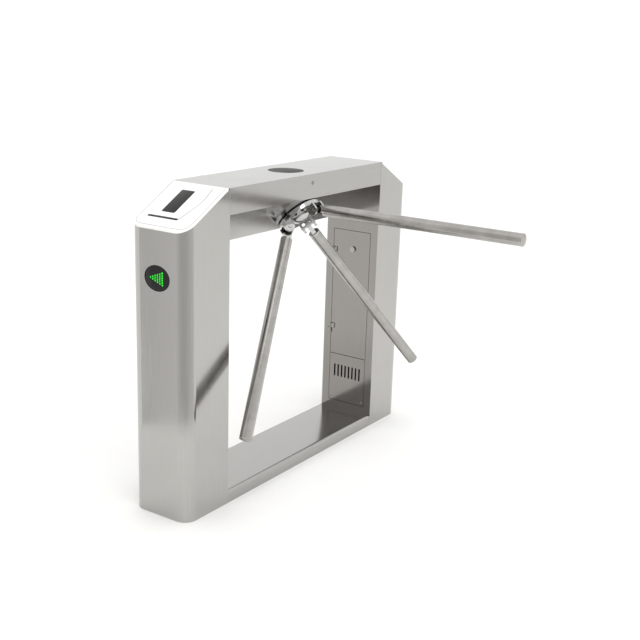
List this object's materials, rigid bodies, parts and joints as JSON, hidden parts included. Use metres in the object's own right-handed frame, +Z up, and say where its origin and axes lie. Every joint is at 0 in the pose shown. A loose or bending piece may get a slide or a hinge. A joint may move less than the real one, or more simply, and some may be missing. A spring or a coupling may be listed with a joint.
{
  "type": "tripod turnstile",
  "caption": "Bridge tripod turnstile with two columns, a beam with a sloped rotor hub, drop arms, lidded top, reader covers and service doors.",
  "frame": {"origin": "on the floor at the centre of the anchor hole pattern, which is the middle of the cabinet", "axes": "+X along the cabinet from the near column to the far column, -Y towards the passage that the arms close, +Z up"},
  "size_m": [1.21, 0.9523, 0.9808],
  "materials": {
    "brushed_stainless": "fine straight brushed stainless sheet",
    "polished_stainless": "mirror polished stainless",
    "white_cover": "gloss white moulded cover",
    "black_gloss": "gloss black window",
    "smoked_lens": "smoked lens",
    "green_lamp": "green lamp lenses on their board",
    "plated_steel": "zinc plated",
    "circuit_board": "solder mask",
    "black_plastic": "moulded",
    "cast_alloy": "machined",
    "seal_rubber": "moulded rubber"
  },
  "bodies": {
    "cabinet": {"near_column_shell": "brushed_stainless", "far_column_shell": "brushed_stainless", "near_door_frame": "brushed_stainless", "far_door_frame": "brushed_stainless", "vent_panels": "brushed_stainless", "beam_front_panel": "brushed_stainless", "beam_rear_panel": "brushed_stainless", "base_cover": "brushed_stainless", "base_channel": "plated_steel", "foot_plates": "plated_steel", "near_reader_cover": "white_cover", "far_reader_cover": "white_cover", "reader_windows": "black_gloss", "status_strips": "black_gloss", "reader_boards": "circuit_board", "indicator_lenses": "smoked_lens", "arrow_lights": "green_lamp", "hinge_pins": "brushed_stainless", "control_board": "circuit_board", "power_supply": "cast_alloy", "counter_module": "black_plastic", "mechanism_plate": "plated_steel", "plate_standoffs": "plated_steel", "bearing_housing": "cast_alloy", "shaft_bearings": "polished_stainless", "damper_housing": "cast_alloy", "pawl_pins": "plated_steel", "lock_solenoids": "black_plastic", "sensor_post": "plated_steel", "counter_sensors": "black_plastic", "hub_seal": "seal_rubber"},
    "rotor": {"main_shaft": "plated_steel", "hub_body": "polished_stainless", "hub_cap": "polished_stainless", "index_wheel": "plated_steel", "main_gear": "plated_steel", "counter_disc": "black_plastic", "shaft_collar": "plated_steel", "arm_pivot_pins": "polished_stainless"},
    "damper": {"damper_pinion": "plated_steel"},
    "near_pawl_lever": {"near_pawl": "plated_steel"},
    "far_pawl_lever": {"far_pawl": "plated_steel"},
    "near_lock_plunger": {"near_plunger": "plated_steel"},
    "far_lock_plunger": {"far_plunger": "plated_steel"},
    "lid": {"top_lid": "brushed_stainless", "top_window": "black_gloss"},
    "lid_key_lock": {"lid_lock": "polished_stainless"},
    "near_service_door": {"near_door": "brushed_stainless"},
    "near_cam_lock": {"near_door_lock": "polished_stainless"},
    "far_service_door": {"far_door": "brushed_stainless"},
    "far_cam_lock": {"far_door_lock": "polished_stainless"},
    "front_arm": {"front_arm_root": "polished_stainless", "front_arm_tube": "polished_stainless", "front_arm_cap": "polished_stainless"},
    "far_arm": {"far_arm_root": "polished_stainless", "far_arm_tube": "polished_stainless", "far_arm_cap": "polished_stainless"},
    "near_arm": {"near_arm_root": "polished_stainless", "near_arm_tube": "polished_stainless", "near_arm_cap": "polished_stainless"}
  },
  "joints": [
    {"name": "rotor_turn", "type": "hinge", "parent": "cabinet", "child": "rotor", "pos_m": [0, -0.054, 0.848], "axis": [0, 0.7071, 0.7071], "continuous": true},
    {"name": "damper_turn", "type": "hinge", "parent": "cabinet", "child": "damper", "pos_m": [0, 0.06904, 0.88053], "axis": [0, 0.7071, 0.7071], "continuous": true},
    {"name": "front_arm_drop", "type": "hinge", "parent": "rotor", "child": "front_arm", "pos_m": [0, -0.1233, 0.86921], "axis": [1, 0, 0], "range_deg": [0, 90]},
    {"name": "far_arm_drop", "type": "hinge", "parent": "rotor", "child": "far_arm", "pos_m": [0.05543, -0.05541, 0.80133], "axis": [-0.5, 0.6124, -0.6124], "range_deg": [0, 45]},
    {"name": "near_arm_drop", "type": "hinge", "parent": "rotor", "child": "near_arm", "pos_m": [-0.05543, -0.05541, 0.80133], "axis": [-0.5, -0.6124, 0.6124], "range_deg": [0, 45]},
    {"name": "near_pawl_turn", "type": "hinge", "parent": "cabinet", "child": "near_pawl_lever", "pos_m": [-0.0585, 0.05207, 0.88053], "axis": [0, 0.7071, 0.7071], "range_deg": [0, 9], "stiffness_Nm_per_rad": 0.6},
    {"name": "near_plunger_slide", "type": "slide", "parent": "cabinet", "child": "near_lock_plunger", "axis": [-1, 0, 0], "range_m": [0, 0.0044]},
    {"name": "near_door_swing", "type": "hinge", "parent": "cabinet", "child": "near_service_door", "pos_m": [-0.4115, 0.0775, 0.486], "axis": [0, 0, 1], "range_deg": [0, 100]},
    {"name": "near_cam_lock_turn", "type": "hinge", "parent": "near_service_door", "child": "near_cam_lock", "pos_m": [-0.415, -0.006, 0.656], "axis": [1, 0, 0], "range_deg": [0, 90]},
    {"name": "far_pawl_turn", "type": "hinge", "parent": "cabinet", "child": "far_pawl_lever", "pos_m": [0.0585, 0.05207, 0.88053], "axis": [0, -0.7071, -0.7071], "range_deg": [0, 9], "stiffness_Nm_per_rad": 0.6},
    {"name": "far_plunger_slide", "type": "slide", "parent": "cabinet", "child": "far_lock_plunger", "axis": [1, 0, 0], "range_m": [0, 0.0044]},
    {"name": "far_door_swing", "type": "hinge", "parent": "cabinet", "child": "far_service_door", "pos_m": [0.4115, 0.0775, 0.486], "axis": [0, 0, -1], "range_deg": [0, 100]},
    {"name": "far_cam_lock_turn", "type": "hinge", "parent": "far_service_door", "child": "far_cam_lock", "pos_m": [0.415, -0.006, 0.656], "axis": [1, 0, 0], "range_deg": [0, 90]},
    {"name": "lid_lift", "type": "hinge", "parent": "cabinet", "child": "lid", "pos_m": [0, 0.1115, 0.976], "axis": [-1, 0, 0], "range_deg": [0, 80]},
    {"name": "lid_lock_turn", "type": "hinge", "parent": "cabinet", "child": "lid_key_lock", "pos_m": [0, -0.108, 0.951], "axis": [0, 1, 0], "range_deg": [0, 90]}
  ],
  "couplings": [
    {"joint": "damper_turn", "follows": "rotor_turn", "ratio": -3},
    {"joint": "near_plunger_slide", "follows": "near_pawl_turn", "m_per_rad": 0.028},
    {"joint": "far_plunger_slide", "follows": "far_pawl_turn", "m_per_rad": 0.028}
  ]
}
